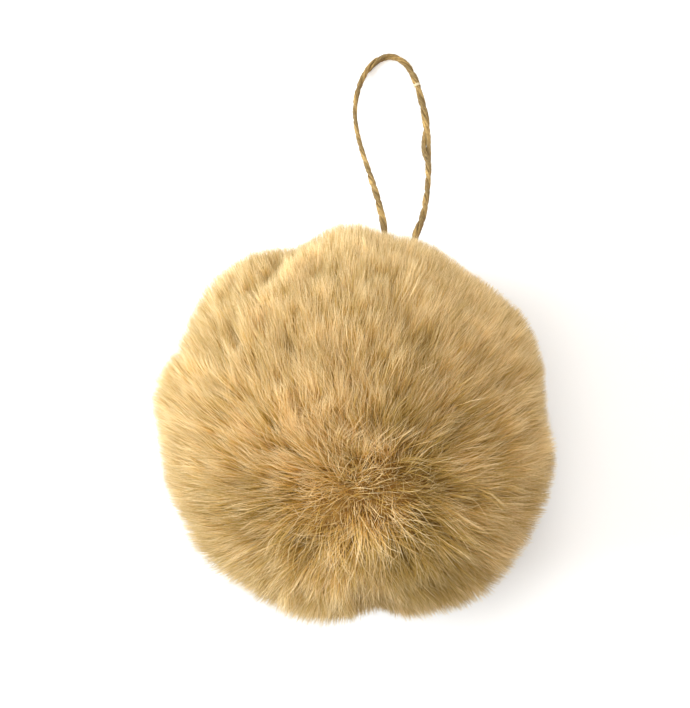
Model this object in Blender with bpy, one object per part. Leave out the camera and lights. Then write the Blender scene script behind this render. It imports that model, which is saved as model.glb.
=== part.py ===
"""A faux-fur pom pom, gathered into a stuffed ball, on a hanging loop of jute twine.

Metres, +Z up. The pom pom lies on its back on a surface at z = 0: the fur it lies on is
pressed level, and the loop comes out of the fur toward +Y and droops until its bend
rests on the surface. The fur parts at a point a little off the top of the ball, and all
of it sweeps away from there.
"""

import math
import random

import bmesh
import bpy
from mathutils import Quaternion, Vector

FUR_RADIUS = 0.0486
CORE_RADIUS = 0.0285
CENTRE_HEIGHT = 0.0430
PRESSED_DEPTH = 0.0020
PARTING_TILT = math.radians(16)
PARTING_HEADING = math.radians(-56)

LOCKS_PER_SIDE = 7
LOCK_TURN = math.radians(70)
LOCK_UNEVEN = 0.04
LOCK_SWAY = 0.18
CELL_UNEVEN = 0.16
SEED = 7

SWEEP = math.radians(24)
SWEEP_RISE = math.radians(13)
SWEEP_END = math.radians(165)

ROUTE_STEPS = 24
TWINE_STEP = 0.0010
TWINE_PITCH = 0.0096
TWINE_GAP = 0.0004
GAP_TESTS = 10
PLY_RADIUS = 0.31
PLY_OFFSET = 0.19
SECTION_POINTS = 8

MM = 0.001

# One row for each level of a lock: height from root to tip, and width as a share of the
# space that the lock has there. The last column is the width where the fur is pressed.
LOCK_LEVELS = (
    {"height": 0.00, "width": 0.92, "pressed": 0.92},
    {"height": 0.42, "width": 0.88, "pressed": 0.88},
    {"height": 0.80, "width": 0.66, "pressed": 0.80},
    {"height": 1.00, "width": 0.34, "pressed": 0.62},
)

# The fur's lobes and notches round the rim: where they lie, seen from above and counted
# from +X toward +Y, how far they stand out, and how wide they are.
RIM_LOBES = (
    {"azimuth": 4, "out_mm": -1.3, "spread": 8},
    {"azimuth": 30, "out_mm": 0.5, "spread": 8},
    {"azimuth": 58, "out_mm": -1.6, "spread": 16},
    {"azimuth": 88, "out_mm": 0.4, "spread": 6},
    {"azimuth": 107, "out_mm": -2.8, "spread": 9},
    {"azimuth": 133, "out_mm": 0.5, "spread": 8},
    {"azimuth": 154, "out_mm": -1.6, "spread": 9},
    {"azimuth": 169, "out_mm": 1.0, "spread": 6},
    {"azimuth": 187, "out_mm": -0.9, "spread": 9},
    {"azimuth": 222, "out_mm": 0.9, "spread": 9},
    {"azimuth": 257, "out_mm": 1.1, "spread": 8},
    {"azimuth": 274, "out_mm": -2.6, "spread": 8},
    {"azimuth": 300, "out_mm": 3.4, "spread": 17},
    {"azimuth": 336, "out_mm": 1.9, "spread": 16},
)

# The twine from the core, round the loop and back: its middle, and how thick it is.
TWINE_ROUTE = (
    {"x": 10.7, "y": 25.2, "z": 36.7, "thick": 1.4},
    {"x": 12.4, "y": 31.5, "z": 35.6, "thick": 1.4},
    {"x": 13.2, "y": 38.5, "z": 34.1, "thick": 1.5},
    {"x": 14.6, "y": 45.4, "z": 31.8, "thick": 1.6},
    {"x": 16.6, "y": 50.8, "z": 28.6, "thick": 1.4},
    {"x": 17.8, "y": 57.7, "z": 23.2, "thick": 1.2},
    {"x": 18.4, "y": 64.2, "z": 16.9, "thick": 1.9},
    {"x": 18.1, "y": 69.2, "z": 12.1, "thick": 1.9},
    {"x": 18.0, "y": 74.3, "z": 7.8, "thick": 1.6},
    {"x": 17.0, "y": 80.4, "z": 4.0, "thick": 1.4},
    {"x": 15.5, "y": 85.6, "z": 1.9, "thick": 1.4},
    {"x": 13.4, "y": 89.1, "z": 1.1, "thick": 1.3},
    {"x": 11.1, "y": 91.0, "z": 0.8, "thick": 1.3},
    {"x": 8.5, "y": 91.6, "z": 0.8, "thick": 1.3},
    {"x": 5.7, "y": 90.6, "z": 0.8, "thick": 1.4},
    {"x": 3.2, "y": 88.2, "z": 1.0, "thick": 1.3},
    {"x": 1.3, "y": 84.5, "z": 2.0, "thick": 1.1},
    {"x": 0.2, "y": 79.8, "z": 4.2, "thick": 1.0},
    {"x": 0.2, "y": 75.2, "z": 7.1, "thick": 0.9},
    {"x": 1.2, "y": 69.8, "z": 11.6, "thick": 1.0},
    {"x": 2.9, "y": 63.8, "z": 17.3, "thick": 1.1},
    {"x": 4.7, "y": 58.0, "z": 22.9, "thick": 1.3},
    {"x": 6.1, "y": 52.9, "z": 27.2, "thick": 1.4},
    {"x": 7.1, "y": 47.9, "z": 30.4, "thick": 1.4},
    {"x": 7.6, "y": 41.5, "z": 33.1, "thick": 1.4},
    {"x": 8.4, "y": 34.5, "z": 35.0, "thick": 1.4},
    {"x": 7.9, "y": 26.3, "z": 36.7, "thick": 1.4},
)


def parting_axis():
    """The direction from the ball's middle to the point where the fur parts."""
    flat = math.sin(PARTING_TILT)
    across = flat * math.cos(PARTING_HEADING)
    along = flat * math.sin(PARTING_HEADING)
    return Vector((across, along, math.cos(PARTING_TILT)))


def angle_between(first, second):
    """The angle from one heading to another in degrees, the short way round."""
    return (first - second + 180) % 360 - 180


def fur_reach(direction):
    """How far the free fur stands out from the ball's middle in this direction."""
    azimuth = math.degrees(math.atan2(direction.y, direction.x))
    at_rim = 1 - direction.z ** 2
    out = 0.0
    for lobe in RIM_LOBES:
        beside = angle_between(azimuth, lobe["azimuth"]) / lobe["spread"]
        out += lobe["out_mm"] * MM * math.exp(-(beside ** 2))
    return FUR_RADIUS + out * at_rim ** 2


def swept(direction, height):
    """Turns a direction away from the parting, the more the nearer to the fur's tips."""
    axis = parting_axis()
    away = axis.angle(direction)
    turned = SWEEP * (1 - math.exp(-away / SWEEP_RISE))
    turned *= math.cos(min(away / SWEEP_END, 1) * math.pi / 2) ** 2
    hinge = axis.cross(direction)
    if hinge.length < 1e-6:
        return direction.copy()
    return Quaternion(hinge.normalized(), turned * height) @ direction


def fur_point(direction, height, shortened=0.0):
    """A point of the fur, given its root's direction and its height from 0 to 1."""
    heading = swept(direction, height)
    reach = fur_reach(heading) * (1 - shortened)
    if heading.z < 0:
        reach = min(reach, CENTRE_HEIGHT / -heading.z)
    out = CORE_RADIUS + height * (reach - CORE_RADIUS)
    return heading * out + Vector((0, 0, CENTRE_HEIGHT))


def pressed_share(direction):
    """1 where the fur is pressed on the surface, 0 where it is free."""
    if direction.z >= 0:
        return 0.0
    free = fur_reach(direction) * -direction.z
    return min(max((free - CENTRE_HEIGHT) / PRESSED_DEPTH, 0), 1)


def twine_points():
    """The twine's middle line at an even step, each point with the thickness there."""
    rows = [
        (Vector((row["x"], row["y"], row["z"])) * MM, row["thick"] * MM)
        for row in TWINE_ROUTE
    ]
    fine = []
    for index in range(len(rows) - 1):
        around = [rows[min(max(index + shift, 0), len(rows) - 1)] for shift in (-1, 0, 1, 2)]
        for step in range(ROUTE_STEPS):
            fine.append(smooth_between(around, step / ROUTE_STEPS))
    fine.append(rows[-1])
    lengths = [0.0]
    for before, after in zip(fine, fine[1:]):
        lengths.append(lengths[-1] + (after[0] - before[0]).length)
    count = round(lengths[-1] / TWINE_STEP)
    points = []
    index = 0
    for number in range(count + 1):
        wanted = lengths[-1] * number / count
        while index < len(fine) - 2 and lengths[index + 1] < wanted:
            index += 1
        share = (wanted - lengths[index]) / (lengths[index + 1] - lengths[index])
        middle = fine[index][0].lerp(fine[index + 1][0], share)
        thick = fine[index][1] + (fine[index + 1][1] - fine[index][1]) * share
        points.append((middle, thick))
    return points


def smooth_between(around, share):
    """A point on the smooth curve through four rows, between the two in the middle."""
    squared = share ** 2
    cubed = share ** 3
    weights = (
        (-share + 2 * squared - cubed) / 2,
        (2 - 5 * squared + 3 * cubed) / 2,
        (share + 4 * squared - 3 * cubed) / 2,
        (cubed - squared) / 2,
    )
    middle = Vector((0, 0, 0))
    thick = 0.0
    for weight, row in zip(weights, around):
        middle += row[0] * weight
        thick += row[1] * weight
    return middle, thick


def cell_directions(face):
    """The directions of a cell's corners, in the face's own order."""
    return [vert.co.normalized() for vert in face.verts]


class Lock:
    """One lock of fur: the cell that it grows from, its sway and its length."""

    def __init__(self, corners, chance):
        self.corners = corners
        self.middle = sum(corners, Vector()).normalized()
        side = self.corners[1] - self.corners[0]
        other = self.corners[3] - self.corners[0]
        across = side * chance.uniform(-LOCK_SWAY, LOCK_SWAY)
        self.sway = across + other * chance.uniform(-LOCK_SWAY, LOCK_SWAY)
        self.shortened = chance.uniform(0, LOCK_UNEVEN)

    def width(self, height):
        """The share of its cell that the lock fills at this height."""
        pressed = pressed_share(swept(self.middle, 1.0))
        for low, high in zip(LOCK_LEVELS, LOCK_LEVELS[1:]):
            if height <= high["height"]:
                share = (height - low["height"]) / (high["height"] - low["height"])
                free = low["width"] + (high["width"] - low["width"]) * share
                held = low["pressed"] + (high["pressed"] - low["pressed"]) * share
                return free + (held - free) * pressed
        return LOCK_LEVELS[-1]["width"]

    def ring(self, height):
        """The lock's corners at this height, in place."""
        pressed = pressed_share(swept(self.middle, 1.0))
        sway = self.sway * height ** 2 * (1 - pressed)
        points = []
        for corner in self.corners:
            direction = self.middle + (corner - self.middle) * self.width(height) + sway
            points.append(fur_point(direction.normalized(), height, self.shortened))
        return points

    def meets(self, twine):
        """True if the twine would run through the lock or touch it."""
        for test in range(GAP_TESTS + 1):
            ring = self.ring(test / GAP_TESTS)
            middle = sum(ring, Vector()) / len(ring)
            reach = max((point - middle).length for point in ring)
            for place, thick in twine:
                if (place - middle).length < reach + thick / 2 + TWINE_GAP:
                    return True
        return False


def cell_ball(chance):
    """A ball of uneven four-sided cells, one for each lock, with an even one underneath."""
    ball = bmesh.new()
    bmesh.ops.create_cube(ball, size=2)
    bmesh.ops.subdivide_edges(
        ball, edges=ball.edges[:], cuts=LOCKS_PER_SIDE - 1, use_grid_fill=True
    )
    turn = Quaternion((0, 0, 1), LOCK_TURN)
    cell = math.radians(90) / LOCKS_PER_SIDE
    for vert in ball.verts:
        even = Vector([math.tan(part * math.pi / 4) for part in vert.co]).normalized()
        astray = Vector([chance.uniform(-CELL_UNEVEN, CELL_UNEVEN) for _ in range(3)]) * cell
        if even.z < -math.cos(cell):
            astray = Vector()
        vert.co = turn @ (even + astray).normalized()
    return ball


def build_fur_ball(collection, twine):
    """The stuffed core with its locks of fur, all one piece of cloth."""
    chance = random.Random(SEED)
    ball = cell_ball(chance)
    locks = [Lock(cell_directions(face), chance) for face in ball.faces]
    near_twine = [place for place in twine if place[0].y < FUR_RADIUS + 0.005]
    grown = []
    for face, lock in zip(ball.faces[:], locks):
        if not lock.meets(near_twine):
            grown.append((face, lock))
    for vert in ball.verts:
        vert.co = fur_point(vert.co, 0.0)
    for face, lock in grown:
        grow_lock(ball, face, lock)
    mesh = bpy.data.meshes.new("fur_ball")
    ball.to_mesh(mesh)
    ball.free()
    stand_over_origin(mesh)
    finish_mesh(mesh, fur_material())
    piece = bpy.data.objects.new("fur_ball", mesh)
    collection.objects.link(piece)
    return piece


def grow_lock(ball, face, lock):
    """Draws one lock out of its cell of the core, level by level."""
    before = [fur_point(corner, 0.0) for corner in lock.corners]
    bmesh.ops.inset_individual(ball, faces=[face], thickness=0)
    for number, level in enumerate(LOCK_LEVELS):
        if number > 0:
            face = bmesh.ops.extrude_discrete_faces(ball, faces=[face])["faces"][0]
        after = lock.ring(level["height"])
        for vert in face.verts:
            corner = min(range(len(before)), key=lambda index: (before[index] - vert.co).length)
            vert.co = after[corner]
        before = after


def stand_over_origin(mesh):
    """The lobes set the ball's box a hair off its middle, so the ball moves over the origin."""
    across = [vert.co.x for vert in mesh.vertices]
    along = [vert.co.y for vert in mesh.vertices]
    middle = Vector((min(across) + max(across), min(along) + max(along), 0)) / 2
    for vert in mesh.vertices:
        vert.co -= middle


def finish_mesh(mesh, material):
    """Gives a mesh its material, with flat sides and sharp edges."""
    mesh.materials.append(material)
    mesh.shade_flat()


def twine_section(collection):
    """The outline of two plies laid side by side, one unit across, as a guide."""
    data = bpy.data.curves.new("ply_section", "CURVE")
    data.dimensions = "2D"
    data.fill_mode = "NONE"
    spline = data.splines.new("POLY")
    spline.points.add(SECTION_POINTS - 1)
    spline.use_cyclic_u = True
    for number, point in enumerate(spline.points):
        turn = -2 * math.pi * number / SECTION_POINTS
        along = PLY_OFFSET * abs(math.cos(turn))
        out = along + math.sqrt(PLY_RADIUS ** 2 - (PLY_OFFSET * math.sin(turn)) ** 2)
        point.co = (out * math.cos(turn), out * math.sin(turn), 0, 1)
    guide = bpy.data.objects.new("ply_section", data)
    guide.hide_render = True
    guide.display_type = "WIRE"
    collection.objects.link(guide)
    return guide


def build_hanging_loop(collection, guides, twine):
    """Two-ply jute twine, its ends at the core and its bend on the surface."""
    data = bpy.data.curves.new("hanging_loop", "CURVE")
    data.dimensions = "3D"
    data.twist_mode = "MINIMUM"
    data.bevel_mode = "OBJECT"
    data.bevel_object = twine_section(guides)
    data.use_fill_caps = True
    spline = data.splines.new("POLY")
    spline.points.add(len(twine) - 1)
    for number, (point, (middle, thick)) in enumerate(zip(spline.points, twine)):
        point.co = (*middle, 1)
        point.radius = thick
        point.tilt = -2 * math.pi * number * TWINE_STEP / TWINE_PITCH
    data.materials.append(twine_material())
    piece = bpy.data.objects.new("hanging_loop", data)
    collection.objects.link(piece)
    return piece


def plain_material(name, colour, roughness):
    """A material of one colour."""
    material = bpy.data.materials.new(name)
    material.use_nodes = True
    shader = material.node_tree.nodes["Principled BSDF"]
    shader.inputs["Base Color"].default_value = (*colour, 1)
    shader.inputs["Roughness"].default_value = roughness
    shader.inputs["Metallic"].default_value = 0
    return material


def fur_material():
    return plain_material("caramel_fur", (0.60, 0.42, 0.21), 0.9)


def twine_material():
    return plain_material("jute_twine", (0.36, 0.24, 0.10), 0.85)


def new_collection(name):
    """A collection of this name in the scene."""
    collection = bpy.data.collections.new(name)
    bpy.context.scene.collection.children.link(collection)
    return collection


def build():
    for leftover in list(bpy.data.objects):
        bpy.data.objects.remove(leftover, do_unlink=True)
    parts = new_collection("pom_pom")
    guides = new_collection("guides")
    twine = twine_points()
    build_fur_ball(parts, twine)
    build_hanging_loop(parts, guides, twine)


build()
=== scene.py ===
"""The looks of a faux-fur pom pom on a loop of jute twine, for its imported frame.

Metres, +Z up. The pom pom lies on its back, seen from straight above. Every fibre grows
out of the under-fur, is swept away from the parting and ends on the fur's outline.
"""

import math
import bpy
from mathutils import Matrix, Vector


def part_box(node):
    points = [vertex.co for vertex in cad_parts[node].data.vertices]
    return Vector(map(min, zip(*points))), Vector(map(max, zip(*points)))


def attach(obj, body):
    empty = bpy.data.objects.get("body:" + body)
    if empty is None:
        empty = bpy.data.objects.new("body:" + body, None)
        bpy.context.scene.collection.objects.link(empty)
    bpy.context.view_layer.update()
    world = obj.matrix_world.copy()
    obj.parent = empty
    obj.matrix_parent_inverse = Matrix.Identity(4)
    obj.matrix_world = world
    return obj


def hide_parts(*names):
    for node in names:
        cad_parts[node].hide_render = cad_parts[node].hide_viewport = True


bl_info = {
    "name": "Faux-fur pom pom",
    "version": (1, 0, 0),
    "blender": (4, 5, 0),
    "location": "3D View > Sidebar > Pom pom",
    "description": "Dresses a pom pom: its fur, its twine loop, and the studio round it",
    "category": "Add Mesh",
}

from types import SimpleNamespace

import bpy
import numpy as np
from bpy.props import FloatProperty, FloatVectorProperty, IntProperty, PointerProperty
from mathutils import Vector
from mathutils.kdtree import KDTree

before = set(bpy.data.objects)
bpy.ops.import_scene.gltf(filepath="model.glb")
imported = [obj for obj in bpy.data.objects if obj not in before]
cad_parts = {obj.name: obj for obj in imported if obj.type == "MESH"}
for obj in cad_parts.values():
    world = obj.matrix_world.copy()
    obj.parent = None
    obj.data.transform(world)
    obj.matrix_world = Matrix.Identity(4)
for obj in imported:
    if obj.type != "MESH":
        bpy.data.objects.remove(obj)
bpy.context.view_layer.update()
BALL_LOW, BALL_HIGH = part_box("fur_ball")

MM = 0.001
TINY = 1e-6
BAKE_MAP = "OFBake"

# What the settings of one kind have in common.
LENGTH = {"subtype": "DISTANCE", "unit": "LENGTH"}
ANGLE = {"subtype": "ANGLE", "unit": "ROTATION"}
COLOUR = {"size": 3, "min": 0.0, "max": 1.0, "subtype": "COLOR"}


def table(columns, *rows):
    """The rows of a table, with each value under the name of its column."""
    names = columns.split()
    return [dict(zip(names, row)) for row in rows]


# The rim's lobes and notches: where they lie, counted from +X toward +Y in degrees, how
# far they stand out, and how wide they are in degrees.
RIM_LOBES = table(
    "azimuth out_mm spread",
    (6, -1.9, 10),
    (30, 0.1, 8),
    (54, -2.6, 16),
    (80, -1.8, 8),
    (107, -3.9, 9),
    (133, 0.5, 8),
    (154, -1.6, 9),
    (169, 1.0, 6),
    (187, -0.9, 9),
    (206, -0.9, 8),
    (224, 0.9, 9),
    (251, 1.6, 11),
    (277, -3.2, 7),
    (308, 4.4, 16),
    (336, 1.9, 16),
)

# The two ends of the line along which the fur parts, seen from above, from the ball's
# middle in millimetres, at the height where the roots show.
PARTING_RADIUS = 0.038
PARTING_ENDS = table(
    "x y",
    (-2.0, -20.6),
    (5.5, -18.2),
)

# Hollows and swells of the fur's upper side, seen from above: where they lie in
# millimetres from the ball's middle, how their length is turned from +X toward +Y in
# degrees, their half length and half width, and how deep they go, less than 0 for a swell.
# Their depth also darkens the fibres' tone as painted shade, and a swell's pales it as
# painted light.
FUR_HOLLOWS = table(
    "x y turned long wide deep",
    (-21.7, 38.5, 52, 7.2, 2.2, 4.0),
    (-16.9, 39.0, 50, 7.0, 2.2, -1.4),
    (-30.2, 22.5, 123, 3.2, 1.0, 3.5),
    (-16.6, 20.9, 118, 2.6, 1.0, 3.0),
    (-36.4, 18.4, 125, 3.2, 1.7, 1.6),
    (6.5, 2.7, 62, 3.8, 1.4, 3.0),
    (12.0, -5.0, 55, 3.0, 1.3, 1.8),
    (-1.7, -17.8, 60, 2.6, 1.8, 2.6),
    (10.6, -14.9, 20, 3.2, 1.8, 3.0),
    (-6.8, -23.1, 35, 3.2, 1.3, 2.5),
    (25.5, -1.7, 40, 3.2, 1.6, 1.6),
    (18.0, 30.0, 60, 5.0, 3.0, -0.9),
)

# Share of the fur's radius at which the hollows and the painted light and shade patches are
# seen.
HOLLOW_SHARE = 0.95

# Patches of painted light and painted shade on the fur's upper side: where they lie and how
# wide they are in millimetres, and how much paler they are, less than 0 for a darker place.
PAINTED_LIGHT_PATCHES = table(
    "x y spread paler",
    (20, -34, 11, -0.22),
    (-4, -26, 11, 0.08),
    (-18, -8, 11, 0.12),
    (9, -27, 6, 0.85),
    (-2, 10, 8, 0.11),
    (18, 18, 6, -0.16),
    (18, -13, 7, -0.19),
    (4, 34, 6, -0.14),
    (-28, -26, 8, -0.13),
    (-14, -20, 6, 0.24),
    (14, -38, 6, -0.25),
    (8, -8, 5, 0.55),
    (0, -9, 4, -0.20),
    (0, 0, 4, 0.14),
    (25, 17, 5, 0.14),
    (-17, -35, 5, -0.14),
    (-25, -17, 4, -0.12),
    (-18, -27, 5, 0.10),
    (-34, 2, 6, 0.11),
    (-8, -36, 6, 0.13),
)

# Where the swept fur turns aside: the side of the parting it lies on, counted from +X
# toward +Y in degrees, how far it turns toward +X to +Y in degrees, and how wide it is.
FLOW_TURNS = table(
    "azimuth turn spread",
    (80, -12, 24),
    (150, -20, 38),
    (210, -18, 20),
    (20, 4, 14),
)

# The twine from the core, round the loop and back: its middle in millimetres, how thick
# it is, and how far its plies stand open, from 0 to 1, where they do.
TWINE_ROUTE = table(
    "x y z thick open",
    (10.7, 25.2, 36.7, 1.4),
    (12.4, 31.5, 35.6, 1.4),
    (13.2, 38.5, 34.1, 1.5),
    (14.6, 45.4, 31.8, 1.6),
    (16.6, 50.8, 28.6, 1.4),
    (17.8, 57.7, 23.2, 1.2),
    (18.1, 63.4, 17.7, 1.4, 0.2),
    (17.7, 67.6, 13.5, 2.1, 1.0),
    (17.8, 74.3, 7.8, 1.7, 0.6),
    (16.7, 80.4, 4.0, 1.5),
    (15.2, 85.6, 1.9, 1.4),
    (13.4, 89.1, 1.1, 1.3),
    (11.1, 91.0, 0.8, 1.3),
    (8.5, 91.6, 0.8, 1.3),
    (5.7, 90.6, 0.8, 1.4),
    (3.2, 88.2, 1.0, 1.3),
    (1.3, 84.5, 2.0, 1.1),
    (0.2, 79.8, 4.2, 1.0),
    (0.2, 75.2, 7.1, 0.9),
    (1.2, 69.8, 11.6, 1.0),
    (2.9, 63.8, 17.3, 1.1),
    (4.7, 58.0, 22.9, 1.3),
    (6.1, 52.9, 27.2, 1.4),
    (7.1, 47.9, 30.4, 1.4),
    (7.6, 41.5, 33.1, 1.4),
    (8.4, 34.5, 35.0, 1.4),
    (7.9, 26.3, 36.7, 1.4),
)

# Steps of the smooth line from one row of the route to the next.
ROUTE_STEPS = 32

# One ply: how far its middle lies off the twine's and how thick it is, as shares of the
# twine's thickness, how broad it is pressed, and how unevenly it winds and swells. Then
# what an open place takes from its winding, adds to its offset, and takes from the rest.
PLY = {"off": 0.265, "radius": 0.315, "broad": 1.45, "winds": 0.35, "swells": 0.08}
PLY_OPENED = {"wind": 0.72, "off": 0.025, "radius": 0.18, "broad": 0.15}

# The ply's bundled fibres, as ridges: how high, how many round it, and how they turn.
PLY_RIDGES = table(
    "high number turn",
    (0.08, 5, 2300),
    (0.06, 7, -1500),
)

# Where bleached fibres cross the twine, seen from above, in millimetres, how many there
# are, how far apart and how aslant they lie, and their radius.
CROSSING_PLACE = (15.7, 84.3)
CROSSING_FIBRES = 5
CROSSING_STEP = 0.13
CROSSING_SLANT = 0.10
CROSSING_RADIUS = 0.07 * MM

# Lowest places of the plies, the loose fibres, and the bleached and the fur's fibres.
PLY_FLOOR = 0.05 * MM
STRAY_FLOOR = 0.08 * MM
FIBRE_FLOOR = 0.1 * MM

# The soft lights: where they stand in metres, how strong they are, and their colour.
COOL = (0.92, 1.0, 1.05)
WARM = (1.0, 0.93, 0.86)
STUDIO_LIGHTS = table(
    "name x y z watts colour",
    ("left", -1.2, 0.0, 0.6, 23.5, COOL),
    ("top", 0.0, 1.2, 0.6, 9.5, COOL),
    ("right", 1.2, 0.0, 0.6, 3.5, WARM),
    ("above", -0.1, 0.15, 1.35, 9.0, WARM),
)
LIGHT_SIZE = 0.7
LIGHT_TARGET = (0.0, 0.01, 0.03)
FLOOR_SIDE = 8

# The levels of one fibre: how far along it each lies, and how wide the fibre is there.
FIBRE_LEVELS = table(
    "along width",
    (0.00, 0.9),
    (0.38, 1.0),
    (0.74, 0.8),
    (1.00, 0.0),
)

# Soft unevenness over the ball: how close its hills stand, which chance fall it is, and
# how much it does.
UNEVEN = {
    "reach": (9, 3, 0.3 * MM),
    "turn": (14, 5, math.radians(3)),
    "sweep": (11, 8, 0.05),
    "tone": (16, 21, 0.03),
    "under": (30, 40, 0.05),
}
UNEVEN_WAVES = 16

# How many degrees from the parting the fibres are tangled, the roots stand dense, and the
# pile is short. The sweep ends at the last, on the far side.
TANGLE_REACH = 10
DENSE_REACH = 24
SHORT_REACH = 30
SWEEP_END = 168

# How unlike the locks, bunches, tufts and fibres are, as the spread of chance draws: turn,
# bend and roll in degrees, the wave in millimetres, and the rest as shares.
LOCKS = {"turn": 3, "tone": 0.02}
BUNCHES = {"turn": 4, "short": 0.030, "tone": 0.06}
TUFTS = {"turn": 3.5, "sweep": 0.06, "close": 0.14, "short": 0.032, "tone": 0.13, "bend": 7}
FIBRES = {"turn": 4.5, "sweep": 0.04, "short": 0.014, "tone": 0.098, "roll": 24, "wave": 0.13}

# What the tangle adds: the first three in degrees, shortness as a share, the rest as times.
TANGLE = {
    "turn": 28,
    "tuft_sweep": 7,
    "fibre_sweep": 8,
    "short": 0.07,
    "bunch_turn": 4,
    "tone": 0.5,
    "bend": 2,
    "loose": 3.5,
}

# What the short pile adds: shortness as a share, the rest as times.
SHORT_PILE = {"short": 0.060, "loose": 0.5, "fibre_short": 2, "wave": 1.6, "tone": 1.4}
SHORT_PILE_THINNER = 0.1

# The lower fibres: their share of all, how much shorter and darker they are, what is left
# of their closing up, and how much looser and wider they are.
LOWER = {"share": 0.26, "darker": 0.16, "close": 0.35, "looser": 2, "wider": 0.3}
LOWER_SHORTER = (0.04, 0.26)

# The fibres that lie any way across the tangle: their share of it, their largest sweep in
# degrees, how far they close up, and how much shorter they are at most.
MESSY = {"share": 0.42, "sweep": 13, "close": 0.4, "short": 0.16}

# What is left of these on the ball's far side, as a share.
FAR_SIDE = {
    "close": 0.5,
    "tuft_short": 0.12,
    "bunch_short": 0.08,
    "fibre_short": 0.4,
    "bend": 0.5,
    "bunching": 0.4,
}

# How far the tips are drawn to the middle of their bunch and lock, how late a fibre closes
# up and is swept along its height, its middle tone, and how much painted shade a millimetre
# of hollow puts into the tone, painted light where the fur swells.
TIPS_DRAWN = {"bunch": 0.34, "lock": 0.12}
CLOSE_LATE = 1.5
SWEEP_LATE = 1.25
MIDDLE_TONE = 0.52
HOLLOW_PAINTED_SHADE = 0.065
FIBRE_WIDTHS = (0.65, 1.25)

# The under-fur's mesh, and how far it stands over the fibres' roots, as a share.
UNDER_RINGS = 72
UNDER_SPOKES = 144
UNDER_OVER_ROOTS = 0.05


class FurSettings(bpy.types.PropertyGroup):
    """Sizes and colours of the fur."""

    radius: FloatProperty(
        name="Fur radius",
        description="How far the free fur stands out from the ball's middle",
        default=0.0500,
        **LENGTH,
    )
    core_radius: FloatProperty(
        name="Core radius",
        description="Radius of the stuffed core that the fur grows from",
        default=0.0285,
        **LENGTH,
    )
    centre_height: FloatProperty(
        name="Centre height",
        description="Height of the ball's middle above the surface",
        default=0.0430,
        **LENGTH,
    )
    root_share: FloatProperty(
        name="Root share",
        description="How far up the pile the fibres come into sight",
        default=0.34,
        min=0.0,
        max=0.8,
        subtype="FACTOR",
    )
    fibres: IntProperty(
        name="Fibres",
        description="How many fibres the whole pile has",
        default=172000,
        min=1000,
    )
    pieces: IntProperty(
        name="Pieces",
        description="How many meshes the pile is joined into",
        default=5,
        min=1,
    )
    tufts: IntProperty(
        name="Tufts",
        description="How many tufts the fibres lean together in",
        default=15000,
        min=10,
    )
    bunches: IntProperty(
        name="Bunches",
        description="How many bunches the tufts stand together in",
        default=3600,
        min=10,
    )
    locks: IntProperty(
        name="Locks",
        description="How many locks the tufts lie together in",
        default=620,
        min=10,
    )
    gather: FloatProperty(
        name="Gather",
        description="How far the tips of a tuft close up",
        default=0.68,
        subtype="FACTOR",
    )
    fibre_width: FloatProperty(
        name="Fibre width",
        description="Width of a strand of fibres lying together",
        default=0.00016,
        **LENGTH,
    )
    sweep: FloatProperty(
        name="Sweep",
        description="How far the tips are swept away from the parting",
        default=math.radians(25),
        **ANGLE,
    )
    sweep_rise: FloatProperty(
        name="Sweep rise",
        description="How near to the parting the sweep reaches its full amount",
        default=math.radians(12),
        **ANGLE,
    )
    seed: IntProperty(
        name="Seed",
        description="Which chance fall of the fibres is made",
        default=11,
    )
    root_colour: FloatVectorProperty(
        name="Root colour",
        description="Colour of the fibres at their roots",
        default=(0.27, 0.135, 0.020),
        **COLOUR,
    )
    body_colour: FloatVectorProperty(
        name="Body colour",
        description="Colour of the fibres along their length",
        default=(0.725, 0.477, 0.115),
        **COLOUR,
    )
    tip_colour: FloatVectorProperty(
        name="Tip colour",
        description="Colour of the fibres at their tips",
        default=(0.87, 0.705, 0.415),
        **COLOUR,
    )


class TwineSettings(bpy.types.PropertyGroup):
    """Sizes and colours of the twine."""

    pitch: FloatProperty(
        name="Pitch",
        description="Length in which a ply goes once round",
        default=0.0096,
        **LENGTH,
    )
    diameter: FloatProperty(
        name="Diameter",
        description="Usual thickness of the twine",
        default=0.0013,
        **LENGTH,
    )
    ring_step: FloatProperty(
        name="Ring step",
        description="Distance between two rings of a ply's mesh",
        default=0.00028,
        **LENGTH,
    )
    sides: IntProperty(
        name="Sides",
        description="Points round one ply",
        default=18,
        min=6,
    )
    strays: IntProperty(
        name="Stray fibres",
        description="How many loose fibres stand off the twine",
        default=170,
        min=0,
    )
    pale_colour: FloatVectorProperty(
        name="Pale colour",
        description="Colour of the twine's pale fibres",
        default=(0.58, 0.385, 0.130),
        **COLOUR,
    )
    dark_colour: FloatVectorProperty(
        name="Dark colour",
        description="Colour of the twine's dark fibres and grooves",
        default=(0.23, 0.120, 0.028),
        **COLOUR,
    )
    bleached_colour: FloatVectorProperty(
        name="Bleached colour",
        description="Colour of the few bleached fibres that cross the twine",
        default=(0.72, 0.62, 0.42),
        **COLOUR,
    )


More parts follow.
